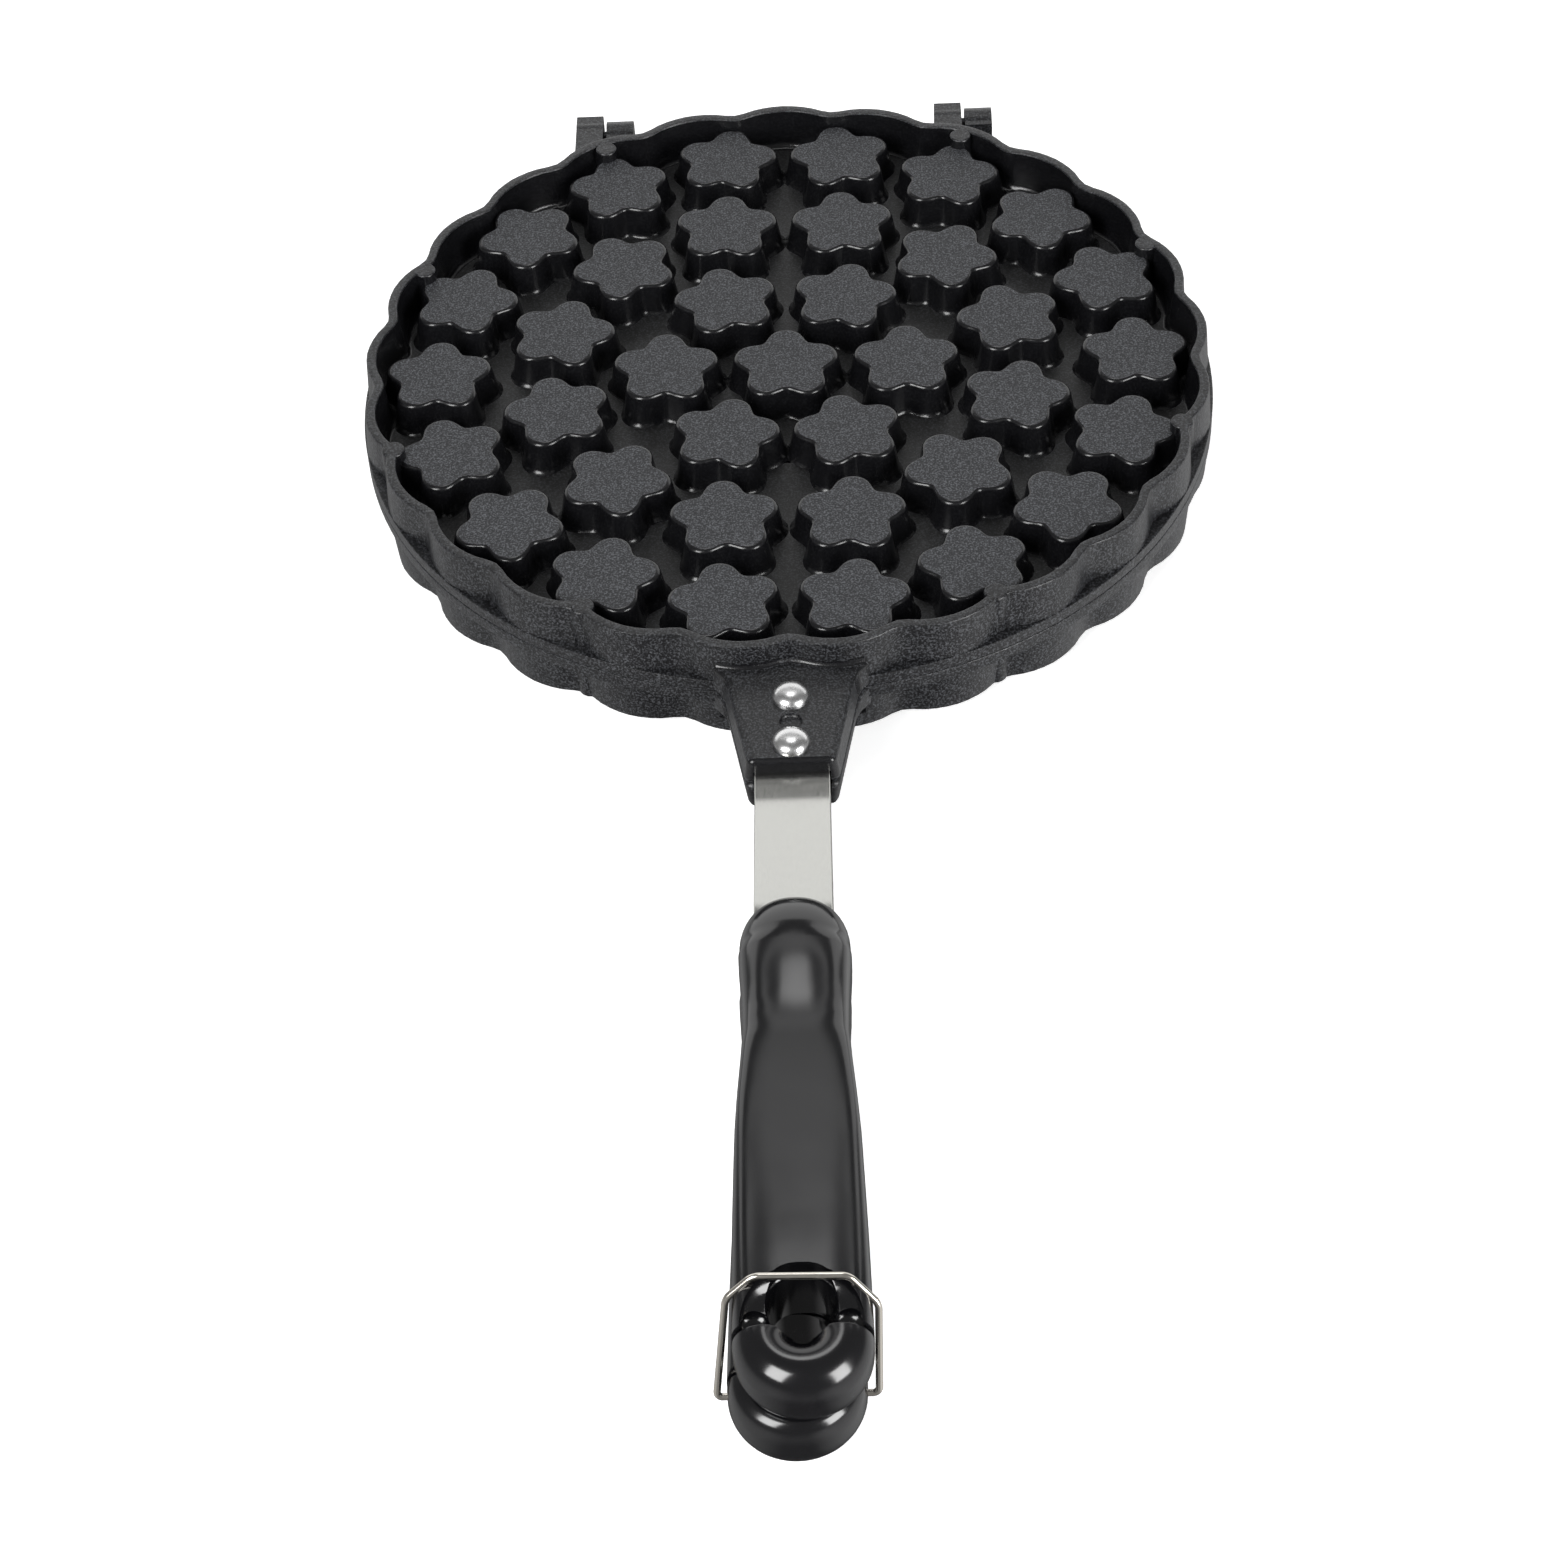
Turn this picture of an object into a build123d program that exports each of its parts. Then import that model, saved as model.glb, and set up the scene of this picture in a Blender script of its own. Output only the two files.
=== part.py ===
from build123d import *
import math
import os

# Driving dimensions in millimetres. Z is up, the hinges are on +Y and the handles on -Y.
# The origin is the centre of the lower rim, on the plane that the pan stands on.
# One half casting is drawn with its cooking face at the parting plane, z = 0, and its moulds up.
# It is used twice: as drawn for the lid, and given half a turn about Y for the bottom half.
rim_height = 15.0
face_gap = 0.3
web_thickness = 3.0

mould_rings = ((0, 1, 0), (32.8, 6, 30), (63.9, 12, 15), (95.0, 18, 10))  # radius, count, first clock angle
petals = 5
boss_height = 12.0
boss_tip = 14.7
boss_valley = 11.0
boss_spread = 1.07  # the root outline over the top one
blunt_tip = (-10.0, 10.0)  # angles of a petal's outermost points
sharp_tip = (0.0,)
mould_depth = 9.0
mould_tip = 13.2
mould_valley = 9.9
mould_spread = 1.09

lobes = 25
lobe_points = 3
lobe_fullness = 0.7  # below 1 a lobe is rounder than half a sine wave
lobe_radius = 114.9
valley_radius = 111.9
wall_thickness = 2.7
wall_draft = 1.0
flange_radius = 116.0
flange_sides = 50
flange_thickness = 3.6
post_clocks = (28.0, 67.0, 107.8, 151.6)
post_radius = 3.2
post_sides = 6
post_circle = 108.8
post_web_length = 9.0
post_web_width = 3.0
post_web_top = 8.5

hinge_y = 122.8
knuckle_radius = 4.8
knuckle_width = 8.0
knuckle_gap = 1.0
hinge_inner_x = 45.0
lug_height = 4.6
lug_rise = 3.6
lug_root_y = 98.0
flange_clearance = 1.6
pin_radius = 2.0
running_clearance = 0.05

bracket_end_y = -147.4
bracket_root_y = -113.5
bracket_inside_y = -104.0
bracket_half_end = 11.8
bracket_half_root = 18.0
bracket_flare = 6.0
bracket_corner = 1.2
bracket_top = 8.4
bracket_edge = 2.0
bracket_draft = (1, 0.96, 0.9)  # size at the foot, below the edge and on top
bracket_skin = 4.0
channel_side = 2.3
channel_room = 1.0
recess_radius = 2.8
recess_depth = 0.5
rivet_ys = (-126.0, -142.0)
recess_y = -134.0

strap_width = 18.5
strap_thickness = 2.4
strap_start_y = -118.0
strap_bend_y = -157.0
strap_rise_y = -190.0
strap_end_y = -283.0

rivet_head_radius = 4.6
rivet_head_height = 2.3
rivet_dome = ((0, 1), (0.4, 0.92), (0.82, 0.62), (1, 0.24))  # shares of the height and the radius
rivet_shank_radius = 2.3
rivet_sides = 12
rivet_tail_radius = 3.6
rivet_tail_height = 1.1

handle_thickness = 18.0
handle_gap = 0.5
handle_front_y = -195.3
handle_nose = (9.3, -199.9)  # half width, y
handle_shoulder = (13.0, -212.0)
handle_waist = (12.1, -235.0)
handle_grip = (13.9, -264.0)
handle_heel = (14.6, -291.0)
handle_bevel = 5.4
nose_length = 16.5
nose_edge = 3.0
ring_y = -318.0
ring_radius = 15.0
ring_nose = 13.5
ring_height = 15.2
eye_y = -311.5
eye_radius = 7.75
scoop_start_y = -308.0
scoop_end_y = -318.6
scoop_depth = 4.4
scoop_bow = 0.7  # share of the depth that is reached half way
notch_y = -315.6
notch_radius = 1.8
notch_lift = 0.6
slot_clearance = 0.1

screw_y = -262.0
screw_head_radius = 3.6
screw_shank_radius = 1.9
screw_depth = 12.0

wire_radius = 0.8
wire_sides = 8
bail_pivot_y = -318.0
bail_bar_y = -307.3
bail_bar_half = 10.0
bail_half = 17.2
bail_shoulder_share = 0.79
bail_bend = 2.2
bail_tip_x = 11.0
wire_gap = 0.1
bail_hole_room = 0.3

handle_low = handle_gap / 2
handle_top = handle_low + handle_thickness
handle_middle = handle_low + handle_thickness / 2
strap_under = bracket_top - bracket_skin - strap_thickness
at_floor = (Align.CENTER, Align.CENTER, Align.MIN)
overshoot = 1.0  # how far a cutter reaches past the face that it opens


def clock_point(radius, clock):
    """The point at a clock angle from the hinge side, turning towards +X."""
    angle = math.radians(clock)
    return radius * math.sin(angle), radius * math.cos(angle)


def mould_places():
    """Every mould's x, y and the direction of one petal; the left side mirrors the right."""
    places = []
    for radius, count, first in mould_rings:
        for i in range(count):
            clock = first + i * 360 / count
            x, y = clock_point(radius, clock)
            if radius == 0:
                turn = 90.0
            elif clock % 360 < 180:
                turn = 180 - clock
            else:
                turn = -clock
            places.append((x, y, turn))
    return places


def stacked(outlines):
    """A solid with flat sides between outlines that have the same number of points."""
    rings = [[Vector(*point) for point in outline] for outline in outlines]
    faces = [Face(Wire.make_polygon(rings[0])), Face(Wire.make_polygon(rings[-1]))]
    for low, high in zip(rings, rings[1:]):
        for i in range(len(low)):
            faces.append(Face(Wire.make_polygon([low[i - 1], low[i], high[i], high[i - 1]])))
    return Solid(Shell(faces))


def drafted(points, sections, centre_y=0.0):
    """One outline at several heights: a pair (z, size) for each, scaled about x = 0, y = centre_y."""
    return stacked([[(x * k, centre_y + (y - centre_y) * k, z) for x, y in points] for z, k in sections])


def ring_points(radius, sides):
    step = 2 * math.pi / sides
    return [(radius * math.cos(i * step), radius * math.sin(i * step)) for i in range(sides)]


def petal_points(tip, valley, tip_angles):
    """A five petal outline, with a point or two at each tip and one between two petals."""
    points = []
    for i in range(petals):
        middle = i * 360 / petals
        for offset, radius in [(angle, tip) for angle in tip_angles] + [(180 / petals, valley)]:
            angle = math.radians(middle + offset)
            points.append((radius * math.cos(angle), radius * math.sin(angle)))
    return points


def boss():
    """The outside of one mould, narrower at its top so that it leaves the sand."""
    points = petal_points(boss_tip, boss_valley, blunt_tip)
    return drafted(points, ((web_thickness / 2, boss_spread), (boss_height, 1)))


def mould_cutter():
    """The hollow that one half of a cake fills."""
    points = petal_points(mould_tip, mould_valley, sharp_tip)
    return drafted(points, ((0, 1), (mould_depth, 1 / mould_spread)))


def at_moulds(piece):
    return [Pos(x, y, 0) * Rot(0, 0, turn) * piece for x, y, turn in mould_places()]


def scallop_points(lobe, valley):
    """The rim's outline: each lobe is a bulge between two sharp valleys, with a lobe at +Y."""
    points = []
    for i in range(lobes):
        for j in range(lobe_points):
            share = j / lobe_points
            radius = valley + (lobe - valley) * math.sin(math.pi * share) ** lobe_fullness
            points.append(clock_point(radius, (0.5 - i - share) * 360 / lobes))
    return points


def wall_outside():
    spread = 1 + wall_draft / lobe_radius
    points = scallop_points(lobe_radius, valley_radius)
    return drafted(points, ((face_gap / 2, spread), (rim_height, 1)))


def wall_inside():
    """The room inside the wall, above the web; it widens upwards."""
    spread = 1 - wall_draft / lobe_radius
    points = scallop_points(lobe_radius - wall_thickness, valley_radius - wall_thickness)
    return drafted(points, ((web_thickness, spread), (rim_height, 1), (rim_height + overshoot, 1)))


def posts():
    """The round posts beside the rim, each tied to the nearest boss by a low web."""
    made = []
    root_z = web_thickness / 2
    for clock in post_clocks:
        for side in (1, -1):
            round_post = extrude(RegularPolygon(post_radius, post_sides), amount=rim_height - root_z)
            web = Box(post_web_width, post_web_length, post_web_top - root_z, align=at_floor)
            both = Pos(0, post_circle, 0) * round_post + Pos(0, post_circle - post_web_length / 2, 0) * web
            made.append(Pos(0, 0, root_z) * Rot(0, 0, -side * clock) * both)
    return made


def lug(inner_x, bore):
    """One hinge lug: a bar out from the wall that ends in a knuckle round the pin."""
    reach = hinge_y + knuckle_radius
    nearest_x = min(abs(inner_x), abs(inner_x + knuckle_width))
    dip_y = math.sqrt(flange_radius**2 - nearest_x**2) + flange_clearance
    bar = make_face(
        Polyline(
            (lug_root_y, face_gap / 2),
            (dip_y, face_gap / 2),
            (dip_y, -lug_rise),
            (hinge_y, -lug_rise),
            (reach, 0),
            (reach, lug_height),
            (lug_root_y, lug_height),
            close=True,
        )
    )
    side = bar + Pos(hinge_y, 0) * Circle(knuckle_radius) - Pos(hinge_y, 0) * Circle(bore)
    return Pos(inner_x, 0, 0) * extrude(Plane.YZ * side, amount=knuckle_width)


def lugs():
    """The inner lug turns on its pin, and the outer one holds the other hinge's pin tight."""
    outer_x = hinge_inner_x + knuckle_width + knuckle_gap
    inner = lug(hinge_inner_x, pin_radius + running_clearance)
    outer = lug(-outer_x - knuckle_width, pin_radius)
    return [inner, outer]


def bracket():
    """The channel cast on the wall, which the handle's strap is riveted into."""
    root, end, corner = bracket_half_root, bracket_half_end, bracket_corner
    wide = root + bracket_flare
    right = [
        (end - corner, bracket_end_y),
        (end, bracket_end_y + corner),
        (root, bracket_root_y - bracket_flare / 2),
        (root + bracket_flare / 3, bracket_root_y),
        (wide, bracket_root_y + bracket_flare / 2),
        (wide, bracket_inside_y),
    ]
    left = [(-x, y) for x, y in reversed(right)]
    heights = (face_gap / 2, bracket_top - bracket_edge, bracket_top)
    return drafted(right + left, tuple(zip(heights, bracket_draft)), bracket_root_y)


def channel():
    """The hollow under the bracket, open below and at the handle end."""
    root, end = bracket_half_root - channel_side, bracket_half_end - channel_side
    start_y = strap_start_y + channel_room
    plan = make_face(
        Polyline(
            (-root, start_y),
            (-end, bracket_end_y - overshoot),
            (end, bracket_end_y - overshoot),
            (root, start_y),
            close=True,
        )
    )
    return extrude(plan, amount=bracket_top - bracket_skin)


def casting():
    """Half of the pan as one aluminium casting: moulds, scalloped wall, lugs and bracket."""
    flange = drafted(ring_points(flange_radius, flange_sides), ((face_gap / 2, 1), (flange_thickness, 1)))
    outside = wall_outside()
    body = flange + outside - wall_inside()
    body += at_moulds(boss()) + [post & outside for post in posts()]
    body += [bracket() - wall_inside()] + lugs()
    body -= at_moulds(mould_cutter()) + [channel()]
    for y in rivet_ys:
        body -= Pos(0, y, 0) * round_hole(rivet_shank_radius, 2 * bracket_top)
    body -= Pos(0, recess_y, bracket_top) * round_hole(recess_radius, recess_depth)
    return body


def hinge_pin():
    """A plain steel pin through one pair of lugs, drawn on the right side."""
    length = 2 * knuckle_width + knuckle_gap
    middle = hinge_inner_x + length / 2
    return Pos(middle, hinge_y, 0) * Rot(0, 90, 0) * Cylinder(pin_radius, length)


def strap_solid(grow):
    """Steel strip bent up from the bracket's level to the middle of the handle."""
    low, high = strap_under - grow, strap_under + strap_thickness + grow
    rise = handle_middle - strap_thickness / 2 - strap_under
    bend = strap_bend_y
    top_shift = strap_thickness * math.tan(math.atan(rise / (bend - strap_rise_y)) / 2)
    side = make_face(
        Polyline(
            (strap_start_y, low),
            (bend, low),
            (strap_rise_y, low + rise),
            (strap_end_y - grow, low + rise),
            (strap_end_y - grow, high + rise),
            (strap_rise_y + top_shift, high + rise),
            (bend + top_shift, high),
            (strap_start_y, high),
            close=True,
        )
    )
    return extrude(Plane.YZ * side, amount=strap_width / 2 + grow, both=True)


def strap():
    body = strap_solid(0)
    for y in rivet_ys:
        body -= Pos(0, y, 0) * round_hole(rivet_shank_radius, 2 * bracket_top)
    body -= Pos(0, screw_y, handle_middle) * round_hole(screw_shank_radius, strap_thickness)
    return body


def round_hole(radius, reach):
    """A cutter for a small hole, which reaches as far up as down."""
    return drafted(ring_points(radius, rivet_sides), ((-reach, 1), (reach, 1)))


def rivet(y):
    """An aluminium rivet: a domed head outside, and its flattened tail under the strap."""
    top = bracket_top
    sections = [
        (strap_under - rivet_tail_height, rivet_tail_radius),
        (strap_under, rivet_tail_radius),
        (strap_under, rivet_shank_radius),
        (top, rivet_shank_radius),
    ]
    sections += [(top + rise * rivet_head_height, share * rivet_head_radius) for rise, share in rivet_dome]
    return Pos(0, y, 0) * drafted(ring_points(1, rivet_sides), sections)


def handle_plan():
    """The handle from above: round front, narrow waist, and a round ring at the end."""
    shoulder, waist, grip = handle_shoulder, handle_waist, handle_grip
    tail = (ring_radius * math.sqrt(0.5), ring_y - ring_radius * math.sqrt(0.5))
    curves = (
        (ThreePointArc((0, handle_front_y), handle_nose, shoulder), 4),
        (ThreePointArc(shoulder, waist, grip), 4),
        (ThreePointArc(grip, handle_heel, (ring_radius, ring_y)), 2),
        (ThreePointArc((ring_radius, ring_y), tail, (0, ring_y - ring_radius)), 6),
    )
    right = [curve @ (i / steps) for curve, steps in curves for i in range(steps)]
    right.append(Vector(0, ring_y - ring_radius, 0))
    return [(p.X, p.Y) for p in right] + [(-p.X, p.Y) for p in right[-2:0:-1]]


def inset(points, distance):
    """The same outline moved inwards, with every edge parallel to the one that it comes from."""
    moved = []
    for i in range(len(points)):
        here = Vector(*points[i])
        before = (here - Vector(*points[i - 1])).normalized()
        after = (Vector(*points[(i + 1) % len(points)]) - here).normalized()
        across = Vector(before.Y, -before.X) + Vector(after.Y, -after.X)
        here += across * (distance / (1 + before.dot(after)))
        moved.append((here.X, here.Y))
    return moved


def quarter(centre, length, height, start, steps=3):
    """Points on a quarter of an ellipse, from the angle start, turning to the left."""
    angles = [math.radians(start + 90 * i / steps) for i in range(steps + 1)]
    return [(centre[0] + length * math.cos(a), centre[1] + height * math.sin(a)) for a in angles]


def handle_elevation():
    """The handle from the side: a domed front, a flat top, a scoop and a bull-nosed ring."""
    top, low, middle = handle_top, handle_low, handle_middle
    nose = ring_nose / 2
    crest_y = ring_y - ring_radius + nose
    crest = ring_height / 2
    dome_y = handle_front_y - nose_length
    scoop_y = 0.5 * (scoop_start_y + scoop_end_y)
    points = quarter((dome_y, middle), nose_length, top - middle, 0, 5)
    half_way = (scoop_y, top - scoop_bow * scoop_depth)
    points += [(scoop_start_y, top), half_way, (scoop_end_y, top - scoop_depth)]
    points += quarter((crest_y, middle), nose, crest, 90)
    points += quarter((crest_y, middle), nose, middle - low, 180)[1:]
    points += quarter((handle_front_y - nose_edge, low + nose_edge), nose_edge, nose_edge, -90, 2)
    return make_face(Polyline(*points, close=True))


def handle():
    """A moulded handle with its strap slot, hanging eye and the cross notch beside the eye."""
    plan, bevel = handle_plan(), handle_bevel
    levels = ((handle_low, bevel), (handle_low + bevel, 0), (handle_top - bevel, 0), (handle_top, bevel))
    body = stacked([[(x, y, z) for x, y in inset(plan, size)] for z, size in levels])
    body &= extrude(Plane.YZ * handle_elevation(), amount=2 * ring_radius, both=True)
    body -= Pos(0, eye_y, handle_middle) * Cylinder(eye_radius, 2 * handle_thickness)
    notch_z = handle_top - scoop_depth + notch_lift
    notch = extrude(Plane.YZ * RegularPolygon(notch_radius, 6), amount=2 * ring_radius, both=True)
    body -= Pos(0, notch_y, notch_z) * notch
    body -= strap_solid(slot_clearance)
    body -= Pos(0, screw_y, handle_low) * screw_shape(slot_clearance)
    return body


def screw_shape(grow):
    """A countersunk screw with its flat head at z = 0 and its point up."""
    head, shank = screw_head_radius + grow, screw_shank_radius + grow
    sections = ((0, head), (head - shank, shank), (screw_depth + grow, shank))
    return drafted(ring_points(1, rivet_sides), sections)


def bail_path():
    """The corners of the wire, from one end to the other, with each bend as two short steps."""
    pivot_z, bar_z = -handle_middle, handle_top + wire_radius + wire_gap
    shoulder_y = bail_pivot_y + bail_shoulder_share * (bail_bar_y - bail_pivot_y)
    shoulder_z = pivot_z + bail_shoulder_share * (bar_z - pivot_z)
    right = [
        Vector(bail_tip_x, bail_pivot_y, pivot_z),
        Vector(bail_half, bail_pivot_y, pivot_z),
        Vector(bail_half, shoulder_y, shoulder_z),
        Vector(bail_bar_half, bail_bar_y, bar_z),
    ]
    corners = right + [Vector(-v.X, v.Y, v.Z) for v in reversed(right)]
    path = [corners[0]]
    for before, corner, after in zip(corners, corners[1:], corners[2:]):
        back, ahead = (before - corner).normalized(), (after - corner).normalized()
        half_turn = (math.pi - math.acos(back.dot(ahead))) / 2
        reach = bail_bend * math.tan(half_turn)
        middle = corner + (back + ahead) * (bail_bend * (1 - math.cos(half_turn)) / math.sin(2 * half_turn))
        path += [corner + back * reach, middle, corner + ahead * reach]
    return path + [corners[-1]]


def wire_bail():
    """The wire that is sprung into the lower handle's sides and locks over the upper handle."""
    path = bail_path()
    ring = [Vector(path[0].X, path[0].Y + y, path[0].Z + z) for y, z in ring_points(wire_radius, wire_sides)]
    rings = [ring]
    for before, corner, after in zip(path, path[1:], path[2:]):
        along = (corner - before).normalized()
        mitre = along + (after - corner).normalized()
        ring = [p + along * ((corner - p).dot(mitre) / along.dot(mitre)) for p in ring]
        rings.append(ring)
    shift = path[-1] - path[-2]
    rings.append([p + shift * ((path[-1] - p).dot(shift) / shift.dot(shift)) for p in ring])
    return stacked([[(p.X, p.Y, p.Z) for p in ring] for ring in rings])


def bail_holes():
    """The two blind holes that the bail's ends turn in."""
    depth = ring_radius + overshoot - bail_tip_x + bail_hole_room
    hole = Rot(0, 90, 0) * Cylinder(wire_radius + running_clearance, depth)
    x = ring_radius + overshoot - depth / 2
    return [Pos(side * x, bail_pivot_y, handle_middle) * hole for side in (1, -1)]


def build():
    """Every sub-part, by name, in the place that it has when the pan is closed."""
    lid_place = Pos(0, 0, rim_height)
    base_place = lid_place * Rot(0, 180, 0)
    half = casting()
    grip = handle()
    parts = {
        "upper_plate": lid_place * half,
        "lower_plate": base_place * half,
        "right_hinge_pin": lid_place * hinge_pin(),
        "left_hinge_pin": base_place * hinge_pin(),
        "upper_handle": lid_place * grip,
        "lower_handle": base_place * (grip - bail_holes()),
        "wire_bail": lid_place * wire_bail(),
    }
    for name, place in (("upper", lid_place), ("lower", base_place)):
        parts[name + "_strap"] = place * strap()
        parts[name + "_front_rivet"] = place * rivet(rivet_ys[0])
        parts[name + "_rear_rivet"] = place * rivet(rivet_ys[1])
        parts[name + "_handle_screw"] = place * Pos(0, screw_y, handle_low) * screw_shape(0)
    return parts


os.makedirs("parts", exist_ok=True)
for name, part in build().items():
    export_step(part, f"parts/{name}.step")
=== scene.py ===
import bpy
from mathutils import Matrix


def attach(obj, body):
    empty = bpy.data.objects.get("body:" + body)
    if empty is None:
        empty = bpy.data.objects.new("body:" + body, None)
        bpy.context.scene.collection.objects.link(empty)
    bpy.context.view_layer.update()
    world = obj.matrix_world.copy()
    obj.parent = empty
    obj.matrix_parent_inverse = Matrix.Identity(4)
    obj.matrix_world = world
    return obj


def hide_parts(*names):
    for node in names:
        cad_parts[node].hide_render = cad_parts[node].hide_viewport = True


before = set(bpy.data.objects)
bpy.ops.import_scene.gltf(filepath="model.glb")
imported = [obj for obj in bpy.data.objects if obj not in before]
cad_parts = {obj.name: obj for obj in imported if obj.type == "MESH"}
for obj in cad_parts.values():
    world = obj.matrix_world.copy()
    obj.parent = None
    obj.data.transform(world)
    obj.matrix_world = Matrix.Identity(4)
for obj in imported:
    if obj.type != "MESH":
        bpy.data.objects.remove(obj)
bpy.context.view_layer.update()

from math import atan2, cos, pi, radians, sin, sqrt

import bpy
from mathutils import Vector

# Petal cake pan. Lengths below are in millimetres, in the half casting's own frame:
# the parting plane is z = 0, the hinges are on +Y, and the lid is the half with its moulds up.
# Rows of a profile are (height, share of the outline), unless a note says otherwise.
mm = 0.001
partingHeight = 15.0  # above the plane that the pan stands on


# Tools

def clearSelection():
    if bpy.context.object and bpy.context.object.mode == "EDIT":
        bpy.ops.object.mode_set(mode="OBJECT")
    bpy.ops.object.select_all(action="DESELECT")


def pick(thing):
    clearSelection()
    thing.select_set(True)
    bpy.context.view_layer.objects.active = thing


def newDisc(name, sides, radius, place):
    clearSelection()
    bpy.ops.mesh.primitive_circle_add(vertices=sides, radius=radius * mm, fill_type="NGON")
    thing = bpy.context.object
    thing.name = thing.data.name = name
    bpy.ops.object.mode_set(mode="EDIT")
    bpy.ops.transform.translate(value=[c * mm for c in place])
    bpy.ops.object.mode_set(mode="OBJECT")
    return thing


def newBox(name, low, high):
    clearSelection()
    middle = [(a + b) / 2 * mm for a, b in zip(low, high)]
    size = [(b - a) * mm for a, b in zip(low, high)]
    bpy.ops.mesh.primitive_cube_add(size=1, location=middle)
    thing = bpy.context.object
    thing.name = thing.data.name = name
    thing.scale = size
    bpy.ops.object.transform_apply(location=True, rotation=False, scale=True)
    return thing


def newBall(name, radii, place):
    clearSelection()
    bpy.ops.mesh.primitive_uv_sphere_add(segments=40, ring_count=24, radius=1, location=(0, 0, 0))
    ball = bpy.context.object
    ball.name = name
    ball.scale = [r * mm for r in radii]
    ball.location = [c * mm for c in place]
    bpy.ops.object.transform_apply(location=True, rotation=False, scale=True)
    return ball


def newRod(name, sides, radius, startX, endX, y, z):
    # a plain rod along X
    rod = newDisc(name, sides, radius, (0, 0, 0))
    drawUp(rod, [(0, 1), (endX - startX, 1)])
    turn(rod, "Y", 90)
    shift(rod, (startX, y, z))
    return rod


def radial(thing, outline):
    for v in thing.data.vertices:  # each point moves straight out to the outline
        length = sqrt(v.co.x**2 + v.co.y**2)
        if length > 0:
            k = outline(atan2(v.co.y, v.co.x)) * mm / length
            v.co.x *= k
            v.co.y *= k


def drawUp(thing, rows, centre=(0, 0)):
    # pulls the disc up through the rows of a profile
    pick(thing)
    bpy.ops.object.mode_set(mode="EDIT")
    bpy.ops.mesh.select_all(action="SELECT")
    z, size = rows[0]
    middle = (centre[0] * mm, centre[1] * mm, 0)
    bpy.ops.transform.resize(value=(size, size, 1), center_override=middle)
    for nextZ, nextSize in rows[1:]:
        bpy.ops.mesh.extrude_region_move(TRANSFORM_OT_translate={"value": (0, 0, (nextZ - z) * mm)})
        k = nextSize / size
        bpy.ops.transform.resize(value=(k, k, 1), center_override=middle)
        z, size = nextZ, nextSize
    bpy.ops.mesh.select_all(action="SELECT")
    bpy.ops.mesh.normals_make_consistent(inside=False)
    bpy.ops.object.mode_set(mode="OBJECT")


def merge(name, things):
    clearSelection()
    for thing in things:
        thing.select_set(True)
    bpy.context.view_layer.objects.active = things[0]
    bpy.ops.object.join()
    things[0].name = things[0].data.name = name
    return things[0]


def carve(thing, other, how):
    pick(thing)
    step = thing.modifiers.new(how, "BOOLEAN")
    step.operation = how
    step.solver = "MANIFOLD"
    step.object = other
    bpy.ops.object.modifier_apply(modifier=step.name)
    bpy.data.objects.remove(other)


def bevelEdges(thing, width, angle=35, segments=3):
    pick(thing)
    step = thing.modifiers.new("round", "BEVEL")
    step.width = width * mm
    step.segments = segments
    step.limit_method = "ANGLE"
    step.angle_limit = radians(angle)
    step.harden_normals = False
    bpy.ops.object.modifier_apply(modifier=step.name)


def cutAcross(thing, places):
    # cuts the mesh at each place along Y
    pick(thing)
    bpy.ops.object.mode_set(mode="EDIT")
    for y in places:
        bpy.ops.mesh.select_all(action="SELECT")
        bpy.ops.mesh.bisect(plane_co=(0, y * mm, 0), plane_no=(0, 1, 0))
    bpy.ops.object.mode_set(mode="OBJECT")


def cutInCells(thing, reach=108.3, cell=7):
    # cuts the wide flat faces into cells smaller than a mould, so that no face ends up with holes in it
    pick(thing)
    bpy.ops.object.mode_set(mode="EDIT")
    for i in range(int(2 * reach / cell) + 1):
        place = (cell * i - reach) * mm
        for normal in ((1, 0, 0), (0, 1, 0)):
            bpy.ops.mesh.select_all(action="SELECT")
            bpy.ops.mesh.bisect(plane_co=(place, place, 0), plane_no=normal)
    bpy.ops.object.mode_set(mode="OBJECT")


def copyOf(thing, name):
    twin = thing.copy()
    twin.data = thing.data.copy()
    twin.name = twin.data.name = name
    bpy.context.collection.objects.link(twin)
    return twin


def turn(thing, axis, degrees):
    # turns the mesh about a line through the origin
    pick(thing)
    thing.rotation_mode = "XYZ"
    thing.rotation_euler = [radians(degrees) if name == axis else 0 for name in "XYZ"]
    bpy.ops.object.transform_apply(location=False, rotation=True, scale=False)


def shift(thing, place):
    pick(thing)
    thing.location = [c * mm for c in place]
    bpy.ops.object.transform_apply(location=True, rotation=False, scale=False)


def settle(thing, half):
    # puts a piece of the half casting's frame in its place in the closed pan
    pick(thing)
    bpy.ops.object.mode_set(mode="EDIT")
    bpy.ops.mesh.select_all(action="SELECT")
    if half == "lower":
        bpy.ops.transform.rotate(value=pi, orient_axis="Y", center_override=(0, 0, 0))
    bpy.ops.transform.translate(value=(0, 0, partingHeight * mm))
    bpy.ops.object.mode_set(mode="OBJECT")


def smooth(thing, angle=32):
    pick(thing)
    bpy.ops.object.shade_smooth_by_angle(angle=radians(angle))
    step = thing.modifiers.new("flat faces stay flat", "WEIGHTED_NORMAL")
    step.keep_sharp = True
    step.weight = 100
    bpy.ops.object.modifier_apply(modifier=step.name)


def signedPower(value, exponent):
    return abs(value) ** exponent * (1 if value > 0 else -1)


def clockPlace(radius, clock):
    return radius * sin(radians(clock)), radius * cos(radians(clock))


# Half casting: scalloped wall, flange and floor

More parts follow.
